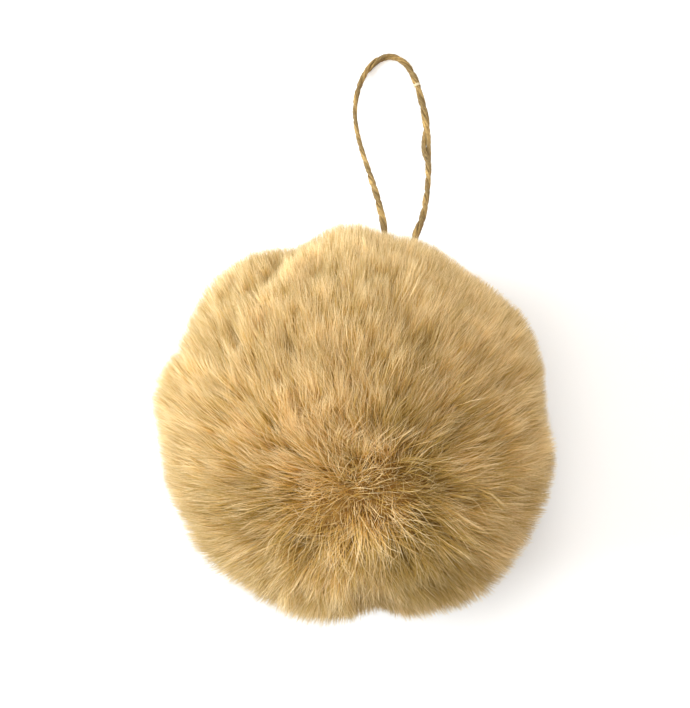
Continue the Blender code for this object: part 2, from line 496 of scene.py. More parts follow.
class StudioSettings(bpy.types.PropertyGroup):
    """The camera, the lights and the floor."""

    picture_height: FloatProperty(
        name="Picture height",
        description="Height of the picture at the ball's middle",
        default=0.1703,
        **LENGTH,
    )
    camera_distance: FloatProperty(
        name="Camera distance",
        description="Distance from the ball's middle up to the camera",
        default=1.0,
        **LENGTH,
    )
    camera_right: FloatProperty(
        name="Camera right",
        description="How far the camera stands to the right of the ball's middle",
        default=-0.0024,
        **LENGTH,
    )
    camera_up: FloatProperty(
        name="Camera up",
        description="How far the camera stands toward the loop from the ball's middle",
        default=0.0171,
        **LENGTH,
    )
    floor_colour: FloatVectorProperty(
        name="Floor colour",
        description="Colour of the plain floor",
        default=(0.94, 0.94, 0.94),
        **COLOUR,
    )
    floor_glow: FloatProperty(
        name="Floor glow",
        description="Light that comes up through the floor, as on a lit table",
        default=0.12,
        min=0.0,
    )
    sky_strength: FloatProperty(
        name="Sky strength",
        description="Strength of the light from all round",
        default=0.30,
        min=0.0,
    )
    sky_colour: FloatVectorProperty(
        name="Sky colour",
        description="Colour of the light from all round",
        default=(1.0, 0.955, 0.90),
        **COLOUR,
    )


def unit(vectors):
    """The vectors, each made one long."""
    length = np.linalg.norm(vectors, axis=-1, keepdims=True)
    return vectors / np.maximum(length, 1e-12)


def dot(first, second):
    """The dot product of each pair of vectors, kept as a column."""
    return np.sum(first * second, axis=-1, keepdims=True)


def smooth_step(low, high, values):
    """0 below low, 1 above high, and a soft rise between."""
    share = np.clip((values - low) / (high - low), 0, 1)
    return share * share * (3 - 2 * share)


def at_least(low, share):
    """A share from 0 to 1, lifted to lie from low to 1."""
    return low + (1 - low) * share


def soft_noise(directions, kind):
    """Soft hills and hollows over the ball, of one kind of unevenness."""
    scale, seed, much = UNEVEN[kind]
    chance = np.random.default_rng(seed)
    ways = unit(chance.normal(size=(UNEVEN_WAVES, 3)))
    rates = chance.uniform(0.6, 1.5, UNEVEN_WAVES) * scale
    starts = chance.uniform(0, 2 * math.pi, UNEVEN_WAVES)
    heights = np.sin(directions @ (ways * rates[:, None]).T + starts)
    return heights.sum(axis=1) / math.sqrt(UNEVEN_WAVES) * much


def bells(azimuth, rows, column):
    """A table's column, summed with each row fading away on both sides of its azimuth."""
    total = np.zeros(len(azimuth))
    for row in rows:
        aside = ((azimuth - row["azimuth"] + 180) % 360 - 180) / row["spread"]
        total += row[column] * np.exp(-(aside ** 2))
    return total


def ball_middle():
    """The ball's middle in the frame."""
    fur = bpy.context.scene.pom_fur
    across = (BALL_LOW[0] + BALL_HIGH[0]) / 2
    along = (BALL_LOW[1] + BALL_HIGH[1]) / 2
    return np.array([across, along, fur.centre_height])


def fur_reach(directions):
    """How far the free fur stands out from the ball's middle in these directions."""
    fur = bpy.context.scene.pom_fur
    azimuth = np.degrees(np.arctan2(directions[:, 1], directions[:, 0]))
    at_rim = 1 - directions[:, 2] ** 2
    out = bells(azimuth, RIM_LOBES, "out_mm") * MM
    lumps = soft_noise(directions, "reach")
    return fur.radius + out * at_rim ** 2 + lumps - hollow_depth(directions)


def from_spot(directions, spot):
    """How many mm the directions lie to the right and ahead of a spot of the upper side."""
    size = bpy.context.scene.pom_fur.radius / MM * HOLLOW_SHARE
    return directions[:, 0] * size - spot["x"], directions[:, 1] * size - spot["y"]


def hollow_depth(directions):
    """How much lower the fur's upper side lies in its hollows, less than 0 on a swell."""
    depth = np.zeros(len(directions))
    for hollow in FUR_HOLLOWS:
        right, ahead = from_spot(directions, hollow)
        turn = math.radians(hollow["turned"])
        along = (right * math.cos(turn) + ahead * math.sin(turn)) / hollow["long"]
        across = (ahead * math.cos(turn) - right * math.sin(turn)) / hollow["wide"]
        depth += hollow["deep"] * MM * np.exp(-(along ** 2 + across ** 2))
    return depth * smooth_step(0, 0.2, directions[:, 2])


def painted_light_tone(directions):
    """How much paler painted light makes the fur in its patches, less than 0 where painted
    shade makes it darker.
    """
    tone = np.zeros(len(directions))
    for painted_patch in PAINTED_LIGHT_PATCHES:
        right, ahead = from_spot(directions, painted_patch)
        tone += painted_patch["paler"] * np.exp(-(right ** 2 + ahead ** 2) / painted_patch["spread"] ** 2)
    return tone * smooth_step(0, 0.2, directions[:, 2])


def parting_points():
    """The two ends of the parting, on a ball one unit in radius."""
    ends = []
    for end in PARTING_ENDS:
        x = end["x"] * MM / PARTING_RADIUS
        y = end["y"] * MM / PARTING_RADIUS
        ends.append((x, y, math.sqrt(1 - x * x - y * y)))
    return np.array(ends)


def away_from_parting(directions):
    """Each direction's angle from the parting's nearest point, and its sweep's hinge."""
    start, end = parting_points()
    chord = end - start
    share = np.clip(((directions - start) @ chord) / (chord @ chord), 0, 1)
    nearest = unit(start + share[:, None] * chord)
    away = np.arccos(np.clip(dot(nearest, directions), -1, 1))
    hinge = unit(np.cross(nearest, directions))
    return away[:, 0], hinge


def flow_turn(directions, away):
    """How far the swept fur turns aside at each direction, in radians."""
    middle = unit(parting_points().mean(axis=0))
    right = unit(np.cross((0.0, 1.0, 0.0), middle))
    ahead = np.cross(middle, right)
    azimuth = np.degrees(np.arctan2(directions @ ahead, directions @ right))
    turn = np.radians(bells(azimuth, FLOW_TURNS, "turn"))
    return turn * smooth_step(math.radians(8), math.radians(36), away)


def nearness(away, reach):
    """1 at the parting, falling softly past this many degrees from it."""
    return np.exp(-((away / math.radians(reach)) ** 2))


def turned(vectors, hinges, angles):
    """Vectors turned about hinges that stand square to them."""
    angles = angles[:, None]
    return vectors * np.cos(angles) + np.cross(hinges, vectors) * np.sin(angles)


def even_directions(count, chance):
    """Directions spread evenly over the ball, each a little off its place."""
    number = np.arange(count) + 0.5
    height = 1 - 2 * number / count
    around = number * math.pi * (3 - math.sqrt(5))
    flat = np.sqrt(1 - height ** 2)
    even = np.stack([flat * np.cos(around), flat * np.sin(around), height], axis=1)
    astray = chance.normal(size=(count, 3)) * math.sqrt(4 * math.pi / count) * 0.4
    return unit(even + astray)


def root_directions(count, chance):
    """The fibres' roots: dense toward the parting, sparse where the ball is pressed."""
    tries = even_directions(count * 3, chance)
    away = away_from_parting(tries)[0]
    wanted = 0.55 + 0.45 * smooth_step(-0.9, -0.3, tries[:, 2])
    wanted += 0.35 * smooth_step(-0.2, 0.6, tries[:, 2])
    wanted += 2.2 * nearness(away, DENSE_REACH)
    chosen = chance.choice(len(tries), count, replace=False, p=wanted / wanted.sum())
    return tries[np.sort(chosen)]


def nearest_tuft(directions, tufts):
    """The number of the tuft whose middle is nearest to each direction."""
    tree = KDTree(len(tufts))
    for number, tuft in enumerate(tufts):
        tree.insert(tuft, number)
    tree.balance()
    return np.array([tree.find(direction)[1] for direction in directions])


def tuft_habits(chance, tufts, bunch, lock):
    """How each tuft turns, is swept, closes up, falls short, is toned and bends."""
    fur = bpy.context.scene.pom_fur
    count = fur.tufts
    away, hinge = away_from_parting(tufts)
    tangled = nearness(away, TANGLE_REACH)
    near = nearness(away, SHORT_REACH)
    facing = smooth_step(-0.1, 0.6, tufts[:, 2])

    turn = flow_turn(tufts, away) + soft_noise(tufts, "turn")
    stray = math.radians(TUFTS["turn"]) + math.radians(TANGLE["turn"]) * tangled
    turn += chance.normal(0, 1, count) * stray
    turn += chance.normal(0, math.radians(LOCKS["turn"]), fur.locks)[lock]
    stray = chance.normal(0, math.radians(BUNCHES["turn"]), fur.bunches)[bunch]
    turn += stray * (1 + TANGLE["bunch_turn"] * tangled)

    sweep = fur.sweep * (1 - np.exp(-away / fur.sweep_rise))
    sweep *= np.cos(np.minimum(away / math.radians(SWEEP_END), 1) * math.pi / 2) ** 2
    sweep *= 1 + chance.normal(0, TUFTS["sweep"], count) + soft_noise(tufts, "sweep")
    sweep += np.abs(chance.normal(0, math.radians(TANGLE["tuft_sweep"]), count)) * tangled

    close = np.clip(chance.normal(fur.gather, TUFTS["close"], count), 0.2, 0.95)
    close *= at_least(FAR_SIDE["close"], facing)

    short = np.abs(chance.normal(0, TUFTS["short"], count))
    short *= at_least(FAR_SIDE["tuft_short"], facing)
    of_bunch = np.abs(chance.normal(0, BUNCHES["short"], fur.bunches))[bunch]
    short += of_bunch * at_least(FAR_SIDE["bunch_short"], facing)
    short += np.abs(chance.normal(0, SHORT_PILE["short"], count)) * near
    short += TANGLE["short"] * tangled * chance.random(count)

    tone = chance.normal(0, TUFTS["tone"], count) * (1 + TANGLE["tone"] * tangled)
    tone += chance.normal(0, LOCKS["tone"], fur.locks)[lock]
    tone += chance.normal(0, BUNCHES["tone"], fur.bunches)[bunch]
    bend = chance.normal(0, math.radians(TUFTS["bend"]), count)
    bend *= at_least(FAR_SIDE["bend"], facing)
    bend *= 1 + TANGLE["bend"] * tangled + near
    return SimpleNamespace(
        hinge=hinge, tangled=tangled, near=near, facing=facing, turn=turn,
        sweep=sweep, close=close, short=short, tone=tone, bend=bend,
    )


def grow_fibres():
    """Every fibre's points, outward directions, width, roll and tone."""
    fur = bpy.context.scene.pom_fur
    chance = np.random.default_rng(fur.seed)
    roots = root_directions(fur.fibres, chance)
    tufts = even_directions(fur.tufts, chance)
    bunches = even_directions(fur.bunches, chance)
    locks = even_directions(fur.locks, chance)
    owner = nearest_tuft(roots, tufts)
    bunch = nearest_tuft(tufts, bunches)
    lock = nearest_tuft(tufts, locks)
    count = len(roots)

    habit = tuft_habits(chance, tufts, bunch, lock)
    tangled = habit.tangled[owner]
    near = habit.near[owner]
    lower = chance.random(count) < LOWER["share"]
    looser = 1 + LOWER["looser"] * lower
    loose = looser + TANGLE["loose"] * tangled + SHORT_PILE["loose"] * near
    turn = habit.turn[owner]
    turn += chance.normal(0, 1, count) * loose * math.radians(FIBRES["turn"])
    sweep = habit.sweep[owner] * (1 + chance.normal(0, FIBRES["sweep"], count) * looser)
    sweep += np.abs(chance.normal(0, math.radians(TANGLE["fibre_sweep"]), count)) * tangled
    shorter = at_least(FAR_SIDE["fibre_short"], habit.facing[owner])
    shorter += SHORT_PILE["fibre_short"] * near
    short = habit.short[owner] + np.abs(chance.normal(0, FIBRES["short"], count)) * shorter
    short += lower * chance.uniform(*LOWER_SHORTER, count)
    close = habit.close[owner] * np.where(lower, LOWER["close"], 1)
    messy = chance.random(count) < MESSY["share"] * tangled
    turn = np.where(messy, chance.uniform(-math.pi, math.pi, count), turn)
    sweep = np.where(messy, chance.uniform(0, math.radians(MESSY["sweep"]), count), sweep)
    close = np.where(messy, MESSY["close"], close)
    short += messy * chance.uniform(0.0, MESSY["short"], count)

    wave_size = chance.normal(0, FIBRES["wave"], count) * MM
    wave_size *= 1 + SHORT_PILE["wave"] * near
    wave_start = chance.uniform(0, 2 * math.pi, count)
    wave_rate = chance.uniform(0.5, 1.1, count) * 2 * math.pi
    middle = ball_middle()
    bunching = at_least(FAR_SIDE["bunching"], habit.facing)[:, None]
    to_bunch = ((bunches[bunch] - tufts) * bunching)[owner] * TIPS_DRAWN["bunch"]
    to_lock = (locks[lock] - tufts)[owner] * TIPS_DRAWN["lock"]
    points = []
    outward = []
    for level in FIBRE_LEVELS:
        height = fur.root_share + (1 - fur.root_share) * level["along"]
        closing = (close * height ** CLOSE_LATE)[:, None]
        base = roots + (tufts[owner] - roots) * closing
        base = unit(base + to_bunch * height ** 2 + to_lock * height ** 2)
        angle = (turn + habit.bend[owner] * height ** 2)[:, None]
        hinge = habit.hinge[owner]
        hinge = hinge * np.cos(angle) + np.cross(tufts[owner], hinge) * np.sin(angle)
        square = unit(hinge - base * dot(hinge, base))
        heading = turned(base, square, sweep * height ** SWEEP_LATE)
        reach = fur_reach(heading) * (1 - short)
        down = np.maximum(-heading[:, 2], TINY)
        reach = np.minimum(reach, (fur.centre_height - FIBRE_FLOOR) / down)
        out = fur.core_radius + height * (reach - fur.core_radius)
        wave = wave_size * np.sin(wave_start + wave_rate * level["along"]) * level["along"]
        place = heading * out[:, None] + square * wave[:, None]
        place[:, 2] = np.maximum(place[:, 2], FIBRE_FLOOR - fur.centre_height)
        points.append(place + middle)
        outward.append(heading)

    tone = MIDDLE_TONE + habit.tone[owner] - LOWER["darker"] * lower
    tone += chance.normal(0, FIBRES["tone"], count) * (1 + SHORT_PILE["tone"] * near)
    # The patches add painted light and painted shade to the tone, paler or darker where light
    # or shade falls.
    tone += soft_noise(roots, "tone") + painted_light_tone(outward[2])
    # Painted shade in the hollows darkens the tone, and painted light on the swells pales it.
    tone -= hollow_depth(outward[2]) / MM * HOLLOW_PAINTED_SHADE
    tone = np.clip(tone, 0.02, 0.98)
    width = fur.fibre_width * chance.uniform(*FIBRE_WIDTHS, count)
    width *= (1 + LOWER["wider"] * lower) * (1 - SHORT_PILE_THINNER * near)
    roll = chance.normal(0, math.radians(FIBRES["roll"]), count)
    return np.array(points), np.array(outward), width, roll, tone


def ribbons(points, outward, width, roll):
    """The corners of flat tapering strips along the fibres, and the faces of one strip."""
    levels = len(points)
    count = points.shape[1]
    corners = np.zeros((count, 2 * levels - 1, 3), np.float32)
    for number, level in enumerate(FIBRE_LEVELS):
        before = points[max(number - 1, 0)]
        after = points[min(number + 1, levels - 1)]
        way = unit(after - before)
        across = unit(np.cross(way, outward[number]))
        across = turned(across, way, roll)
        half = across * (width * level["width"] / 2)[:, None]
        if number == levels - 1:
            corners[:, 2 * number] = points[number]
        else:
            corners[:, 2 * number] = points[number] - half
            corners[:, 2 * number + 1] = points[number] + half
    return corners


def strip_mesh(name, corners, tone):
    """One mesh of many strips, with each strip's tone and length laid out on its map."""
    count, per_strip = corners.shape[:2]
    levels = (per_strip + 1) // 2
    faces = []
    for number in range(levels - 2):
        low = 2 * number
        faces.append((low, low + 1, low + 3, low + 2))
    faces.append((per_strip - 3, per_strip - 2, per_strip - 1))
    loops = np.concatenate([np.array(face) for face in faces])
    sizes = np.array([len(face) for face in faces])
    first = (np.arange(count) * per_strip)[:, None]
    all_loops = (loops[None, :] + first).ravel()
    all_sizes = np.tile(sizes, count)
    starts = np.concatenate([[0], np.cumsum(all_sizes)[:-1]])

    mesh = bpy.data.meshes.new(name)
    mesh.vertices.add(count * per_strip)
    mesh.vertices.foreach_set("co", corners.reshape(-1))
    mesh.loops.add(len(all_loops))
    mesh.loops.foreach_set("vertex_index", all_loops.astype(np.int32))
    mesh.polygons.add(len(all_sizes))
    mesh.polygons.foreach_set("loop_start", starts.astype(np.int32))
    mesh.polygons.foreach_set("use_smooth", np.ones(len(all_sizes), bool))
    mesh.update(calc_edges=True)

    along = np.zeros(per_strip)
    side = np.zeros(per_strip)
    for number, level in enumerate(FIBRE_LEVELS):
        along[2 * number] = level["along"]
        if number < levels - 1:
            along[2 * number + 1] = level["along"]
            side[2 * number] = -1
            side[2 * number + 1] = 1
    room = 0.008
    places = np.zeros((count, len(loops), 2), np.float32)
    places[:, :, 0] = (0.01 + 0.98 * along[loops])[None, :]
    places[:, :, 1] = tone[:, None] * (1 - 4 * room) + 2 * room + side[loops][None, :] * room
    layer = mesh.uv_layers.new(name=BAKE_MAP)
    layer.uv.foreach_set("vector", places.reshape(-1))
    return mesh


def link_piece(name, mesh, material):
    """Puts a mesh into the scene as a piece of the object."""
    mesh.materials.append(material)
    piece = bpy.data.objects.new(name, mesh)
    bpy.context.scene.collection.objects.link(piece)
    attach(piece, "root")
    return piece


def group_with(name, inputs, outputs):
    """An empty node group with these named inputs and outputs."""
    tree = bpy.data.node_groups.new(name, "ShaderNodeTree")
    for label, kind in inputs:
        tree.interface.new_socket(label, in_out="INPUT", socket_type=kind)
    for label, kind in outputs:
        tree.interface.new_socket(label, in_out="OUTPUT", socket_type=kind)
    start = tree.nodes.new("NodeGroupInput")
    end = tree.nodes.new("NodeGroupOutput")
    return tree, start, end


def set_inputs(tree, node, inputs):
    """Sets a node's inputs to numbers and colours, or links them to outputs."""
    for name, value in inputs.items():
        if isinstance(value, bpy.types.NodeSocket):
            tree.links.new(value, node.inputs[name])
        else:
            node.inputs[name].default_value = value


def add_node(tree, kind, inputs, **settings):
    """Adds a node with these settings and inputs, and returns its outputs."""
    node = tree.nodes.new("ShaderNode" + kind)
    for name, value in settings.items():
        setattr(node, name, value)
    set_inputs(tree, node, inputs)
    return node.outputs


def soft_range(tree, value, low, high, to_low=0.0, to_high=1.0):
    """A value mapped softly from one range to another."""
    inputs = {"Value": value, "From Min": low, "From Max": high}
    inputs.update({"To Min": to_low, "To Max": to_high})
    return add_node(tree, "MapRange", inputs, interpolation_type="SMOOTHSTEP")["Result"]


def mixed_colour(tree, factor, first, second, blend="MIX"):
    """Two colours mixed by a factor."""
    inputs = {"Factor": factor, "A": first, "B": second}
    return add_node(tree, "Mix", inputs, data_type="RGBA", blend_type=blend)["Result"]


def lit_colour(tree, colour, light):
    """A colour made lighter or darker by a value."""
    grey = add_node(tree, "CombineColor", {"Red": light, "Green": light, "Blue": light})
    return mixed_colour(tree, 1.0, colour, grey["Color"], "MULTIPLY")


def bumped(tree, height, strength, distance):
    """The surface's normal, with fine bumps."""
    inputs = {"Height": height, "Strength": strength, "Distance": distance}
    return add_node(tree, "Bump", inputs)["Normal"]


def strand_colour_group():
    """A strand's colour from root to tip, lighter or darker with its tone, which holds its
    own random tone together with painted light and shade.
    """
    name = "Strand colour"
    if name in bpy.data.node_groups:
        return bpy.data.node_groups[name]
    inputs = (
        ("Along", "NodeSocketFloat"),
        ("Tone", "NodeSocketFloat"),
        ("Root", "NodeSocketColor"),
        ("Body", "NodeSocketColor"),
        ("Tip", "NodeSocketColor"),
    )
    outputs = (("Colour", "NodeSocketColor"), ("Dryness", "NodeSocketFloat"))
    tree, start, end = group_with(name, inputs, outputs)
    given = start.outputs
    inputs = {0: given["Tone"], 1: 0.5, 2: given["Along"]}
    bleached = add_node(tree, "Math", inputs, operation="MULTIPLY_ADD")["Value"]
    rooted = soft_range(tree, bleached, 0.30, 0.88)
    lower = mixed_colour(tree, rooted, given["Root"], given["Body"])
    tipped = soft_range(tree, bleached, 0.80, 1.30)
    whole = mixed_colour(tree, tipped, lower, given["Tip"])
    light = soft_range(tree, given["Tone"], 0.0, 1.0, 0.58, 1.26)
    dry = soft_range(tree, given["Tone"], 0.0, 1.0, 0.52, 0.72)
    set_inputs(tree, end, {"Colour": lit_colour(tree, whole, light), "Dryness": dry})
    return tree


def new_material(name):
    """A material with a Principled shader, and its node tree."""
    material = bpy.data.materials.new(name)
    material.use_nodes = True
    return material, material.node_tree, material.node_tree.nodes["Principled BSDF"]


def map_coordinates(tree):
    """The piece's own map, and its two coordinates."""
    place = add_node(tree, "UVMap", {}, uv_map=BAKE_MAP)["UV"]
    split = add_node(tree, "SeparateXYZ", {"Vector": place})
    return place, split["X"], split["Y"]


def strand_colours(tree, along, tone):
    """The outputs of the shared group, with the fur's own colours."""
    fur = bpy.context.scene.pom_fur
    inputs = {
        "Along": along,
        "Tone": tone,
        "Root": (*fur.root_colour, 1),
        "Body": (*fur.body_colour, 1),
        "Tip": (*fur.tip_colour, 1),
    }
    return add_node(tree, "Group", inputs, node_tree=strand_colour_group())


def fur_material():
    """Acrylic fur fibre: dark warm roots, caramel body, pale tips, soft sheen."""
    material, tree, shader = new_material("faux_fur_fibre")
    _, along, tone = map_coordinates(tree)
    strand = strand_colours(tree, along, tone)
    look = {"Base Color": strand["Colour"], "Roughness": strand["Dryness"]}
    set_inputs(tree, shader, {**look, "Specular IOR Level": 0.3})
    through = add_node(tree, "BsdfTranslucent", {"Color": strand["Colour"]})["BSDF"]
    inputs = {"Fac": 0.38, 1: shader.outputs["BSDF"], 2: through}
    both_ways = add_node(tree, "MixShader", inputs)["Shader"]
    set_inputs(tree, tree.nodes["Material Output"], {"Surface": both_ways})
    return material


class POMPOM_OT_fur_pile(bpy.types.Operator):
    """Grow the fur's fibres over the whole ball"""

    bl_idname = "pompom.fur_pile"
    bl_label = "Fur pile"

    def execute(self, context):
        fur = context.scene.pom_fur
        points, outward, width, roll, tone = grow_fibres()
        corners = ribbons(points, outward, width, roll)
        middle = ball_middle()
        tips = points[-1] - middle
        order = np.argsort(np.arctan2(tips[:, 1], tips[:, 0]), kind="stable")
        material = fur_material()
        for number, part in enumerate(np.array_split(order, fur.pieces)):
            name = f"fur_pile_{number + 1}"
            mesh = strip_mesh(name, corners[part], tone[part])
            piece = link_piece(name, mesh, material)
            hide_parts("fur_ball")
        return {"FINISHED"}


def under_fur_material():
    """The matted lower pile: dark, with painted shade in the hollows of its bumps, and rough
    to the light.
    """
    material, tree, shader = new_material("under_fur")
    place = add_node(tree, "TexCoord", {})["Object"]
    bumps_and_painted_shade = add_node(tree, "TexNoise", {"Vector": place, "Scale": 900, "Detail": 3})["Fac"]
    # The same noise sets the bumps and the colour, so the bumps' hollows get painted shade.
    look = {
        "Base Color": strand_colours(tree, 0.1, bumps_and_painted_shade)["Colour"],
        "Roughness": 0.9,
        "Normal": bumped(tree, bumps_and_painted_shade, 0.8, 0.4 * MM),
    }
    set_inputs(tree, shader, look)
    return material


class POMPOM_OT_under_fur(bpy.types.Operator):
    """Make the matted lower pile round the stuffed core"""

    bl_idname = "pompom.under_fur"
    bl_label = "Under-fur"

    def execute(self, context):
        fur = context.scene.pom_fur
        rings = UNDER_RINGS
        spokes = UNDER_SPOKES
        tilt = np.linspace(0, math.pi, rings + 1)[1:-1]
        turn = np.arange(spokes) * 2 * math.pi / spokes
        flat = np.sin(tilt)[:, None]
        grid = np.stack(
            [flat * np.cos(turn), flat * np.sin(turn), np.cos(tilt)[:, None] + 0 * turn],
            axis=2,
        ).reshape(-1, 3)
        directions = np.concatenate([grid, [[0, 0, 1], [0, 0, -1]]])
        floor = fur.centre_height / np.maximum(-directions[:, 2], TINY)
        reach = np.minimum(fur_reach(directions), floor)
        share = fur.root_share + UNDER_OVER_ROOTS + soft_noise(directions, "under")
        out = fur.core_radius + share * (reach - fur.core_radius)
        places = directions * out[:, None] + ball_middle()
        top = len(grid)
        bottom = top + 1
        faces = []
        for ring in range(rings - 2):
            for spoke in range(spokes):
                beside = (spoke + 1) % spokes
                first = ring * spokes
                second = first + spokes
                faces.append((first + spoke, second + spoke, second + beside, first + beside))
        last = (rings - 2) * spokes
        for spoke in range(spokes):
            beside = (spoke + 1) % spokes
            faces.append((top, spoke, beside))
            faces.append((bottom, last + beside, last + spoke))
        mesh = bpy.data.meshes.new("under_fur")
        mesh.from_pydata(places.tolist(), [], faces)
        mesh.shade_smooth()
        piece = link_piece("under_fur", mesh, under_fur_material())
        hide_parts("fur_ball")
        return {"FINISHED"}


def twine_line(step):
    """The twine's middle line at an even step, with its thickness and opening."""
    columns = ("x", "y", "z", "thick", "open")
    rows = np.array([[row.get(column, 0.0) for column in columns] for row in TWINE_ROUTE])
    rows[:, :4] *= MM
    padded = np.concatenate([rows[:1], rows, rows[-1:]])
    share = np.arange(ROUTE_STEPS)[:, None] / ROUTE_STEPS
    weights = np.concatenate(
        [
            (-share + 2 * share ** 2 - share ** 3) / 2,
            (2 - 5 * share ** 2 + 3 * share ** 3) / 2,
            (share + 4 * share ** 2 - 3 * share ** 3) / 2,
            (share ** 3 - share ** 2) / 2,
        ],
        axis=1,
    )
    runs = [weights @ padded[first:first + 4] for first in range(len(rows) - 1)]
    fine = np.concatenate(runs + [rows[-1:]])
    steps = np.linalg.norm(np.diff(fine[:, :3], axis=0), axis=1)
    lengths = np.concatenate([[0], np.cumsum(steps)])
    count = round(lengths[-1] / step)
    wanted = np.linspace(0, lengths[-1], count + 1)
    even = np.stack([np.interp(wanted, lengths, column) for column in fine.T], axis=1)
    return even[:, :3], even[:, 3], np.clip(even[:, 4], 0, 1), lengths[-1]


def carried_frames(line):
    """Two directions square to the line at each point, carried along without a twist."""
    ways = unit(np.gradient(line, axis=0))
    sides = np.zeros_like(line)
    side = np.cross(ways[0], (0.0, 0.0, 1.0))
    for number, way in enumerate(ways):
        side = side - way * (side @ way)
        side = side / np.linalg.norm(side)
        sides[number] = side
    return ways, sides, np.cross(ways, sides)


def closed_tube(rings):
    """The corners and faces of a tube through these rings of points, closed at its ends."""
    count, sides = rings.shape[:2]
    corners = rings.reshape(-1, 3)
    faces = []
    for ring in range(count - 1):
        for side in range(sides):
            beside = (side + 1) % sides
            first = ring * sides
            second = first + sides
            faces.append((first + side, first + beside, second + beside, second + side))
    faces.append(tuple(range(sides - 1, -1, -1)))
    last = (count - 1) * sides
    faces.append(tuple(range(last, last + sides)))
    return corners, faces


def ply_rings(which):
    """The rings of one of the twine's two plies, with its bundled fibres as ridges."""
    twine = bpy.context.scene.pom_twine
    line, thick, opening, length = twine_line(twine.ring_step)
    ways, sides, ups = carried_frames(line)
    run = np.linspace(0, length, len(line))
    chance = np.random.default_rng(60 + which)
    uneven = np.interp(run, np.linspace(0, length, 60), chance.normal(0, PLY["winds"], 60))
    wound = np.cumsum(1 - PLY_OPENED["wind"] * opening) * length / len(line)
    wound -= wound[np.argmax(opening)]
    lay = -2 * math.pi * wound / twine.pitch + uneven * 0.5 * (1 - opening) + which * math.pi
    offset = thick * (PLY["off"] + PLY_OPENED["off"] * opening)
    swell = np.interp(run, np.linspace(0, length, 70), chance.normal(0, 1, 70))
    radius = thick * PLY["radius"] * (1 + PLY["swells"] * swell)
    radius *= 1 - PLY_OPENED["radius"] * opening
    broad = PLY["broad"] - PLY_OPENED["broad"] * opening
    out = sides * np.cos(lay)[:, None] + ups * np.sin(lay)[:, None]
    aside = ups * np.cos(lay)[:, None] - sides * np.sin(lay)[:, None]
    middle = line + out * offset[:, None]
    rings = np.zeros((len(line), twine.sides, 3))
    for side in range(twine.sides):
        turn = 2 * math.pi * side / twine.sides
        size = radius.copy()
        for ridge in PLY_RIDGES:
            lie = ridge["number"] * turn + ridge["turn"] * run
            size += radius * ridge["high"] * np.cos(lie)
        rings[:, side] = (
            middle
            + out * (size * math.cos(turn))[:, None]
            + aside * (size * broad * math.sin(turn))[:, None]
        )
    rings[:, :, 2] = np.maximum(rings[:, :, 2], PLY_FLOOR)
    return rings


def stray_rings(chance, line, thick, ways, sides, ups):
    """The rings of one loose fibre that stands off the twine."""
    start = int(chance.integers(30, len(line) - 30))
    turn = chance.uniform(0, 2 * math.pi)
    out = sides[start] * math.cos(turn) + ups[start] * math.sin(turn)
    way = ways[start] * chance.choice([-1, 1])
    long = chance.uniform(1.2, 3.2) * MM
    lift = chance.uniform(0.1, 0.55)
    bend = chance.normal(0, 0.5)
    beside = np.cross(way, out)
    steps = np.linspace(0, 1, 7)
    base = line[start] + out * thick[start] * 0.42
    path = (
        base
        + np.outer(steps, way) * long
        + np.outer(steps ** 1.5, out) * long * lift
        + np.outer(steps ** 2, beside) * long * bend * 0.5
    )
    path[:, 2] = np.maximum(path[:, 2], STRAY_FLOOR)
    size = chance.uniform(0.016, 0.032) * MM * (1 - 0.7 * steps)
    rings = np.zeros((len(path), 3, 3))
    for side in range(3):
        angle = 2 * math.pi * side / 3
        way_out = out * math.cos(angle) + beside * math.sin(angle)
        rings[:, side] = path + np.outer(size, way_out)
    return rings


def crossing_rings(line, thick, ways, number):
    """The rings of one bleached fibre that crosses the face of the twine."""
    apart = np.linalg.norm(line[:, :2] - np.array(CROSSING_PLACE) * MM, axis=1)
    start = int(np.argmin(apart))
    steps = np.linspace(-1, 1, 9)
    turn = math.pi / 2 + steps * math.radians(105)
    up = unit(np.array([0.0, 0.0, 1.0]) - ways[start] * ways[start][2])
    across = np.cross(up, ways[start])
    spread = thick[start] * 0.60
    shift = (number - CROSSING_FIBRES // 2) * CROSSING_STEP + CROSSING_SLANT * steps
    path = (
        line[start]
        + np.outer(np.cos(turn) * spread, across)
        + np.outer(np.sin(turn) * spread, up)
        + np.outer(shift * MM, ways[start])
    )
    path[:, 2] = np.maximum(path[:, 2], FIBRE_FLOOR)
    out = unit(path - line[start]) * CROSSING_RADIUS
    way = ways[start] * CROSSING_RADIUS
    rings = np.zeros((len(path), 4, 3))
    for side in range(4):
        angle = math.pi / 2 * side
        rings[:, side] = path + out * math.cos(angle) + way * math.sin(angle)
    return rings


